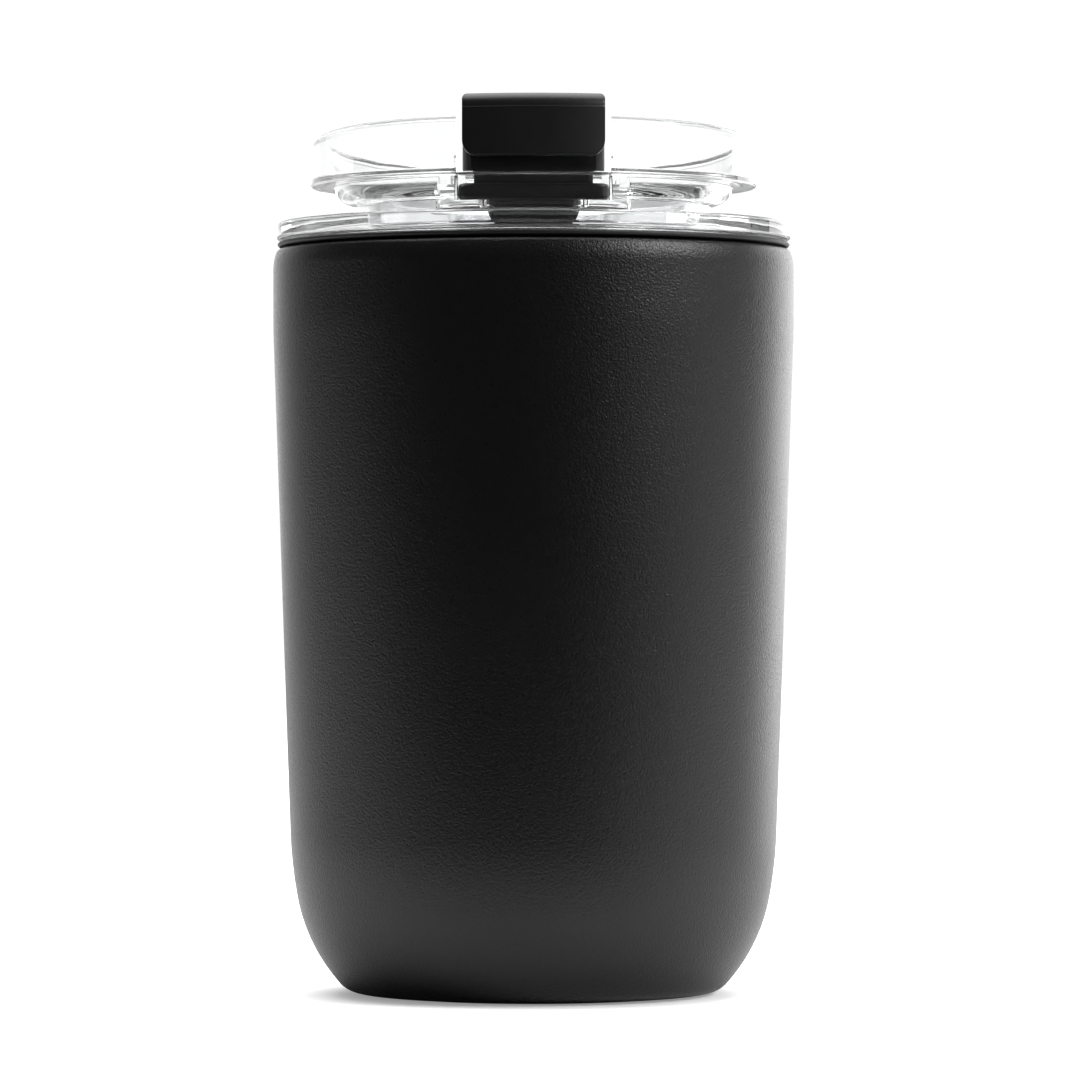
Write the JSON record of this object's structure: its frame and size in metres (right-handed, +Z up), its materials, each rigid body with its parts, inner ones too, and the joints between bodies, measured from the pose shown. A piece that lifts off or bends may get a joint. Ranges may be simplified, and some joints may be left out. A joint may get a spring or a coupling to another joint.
{
  "type": "insulated travel mug",
  "caption": "Double-wall vacuum travel mug: tapered cup with a large rounded foot, a clear press-in lid with a raised drinking ring, and a flip lever that seals the sip hole.",
  "frame": {"origin": "centre of the base, on the surface that the mug stands on", "axes": "+Z up along the cup's axis; -Y is the front, where the tab and the sip hole are; +X is to the right seen from the front"},
  "size_m": [0.0828, 0.0828, 0.1406],
  "materials": {
    "powder_coat": "satin",
    "steel": "satin",
    "copper": "satin",
    "solder_glass": "gloss",
    "silicone": "matte",
    "getter": "matte",
    "clear_plastic": "gloss",
    "black_plastic": "satin"
  },
  "bodies": {
    "cup": {"outer_shell": "powder_coat", "inner_vessel": "steel", "foil_shield": "copper", "vacuum_bottom": "steel", "solder_bead": "solder_glass", "base_cover": "powder_coat", "base_pad": "silicone", "getter_clip": "steel", "getter_pellet": "getter"},
    "lid": {"lid_base": "clear_plastic", "lid_top": "clear_plastic", "lid_seal": "silicone", "hinge_pin": "steel"},
    "lever": {"flip_lever": "black_plastic", "sip_plug": "silicone"}
  },
  "joints": [
    {"name": "lid_lift", "type": "slide", "parent": "cup", "child": "lid", "axis": [0, 0, 1], "range_m": [0, 0.06]},
    {"name": "lever_flip", "type": "hinge", "parent": "lid", "child": "lever", "pos_m": [0, -0.005, 0.1302], "axis": [-1, 0, 0], "range_deg": [0, 160]}
  ]
}
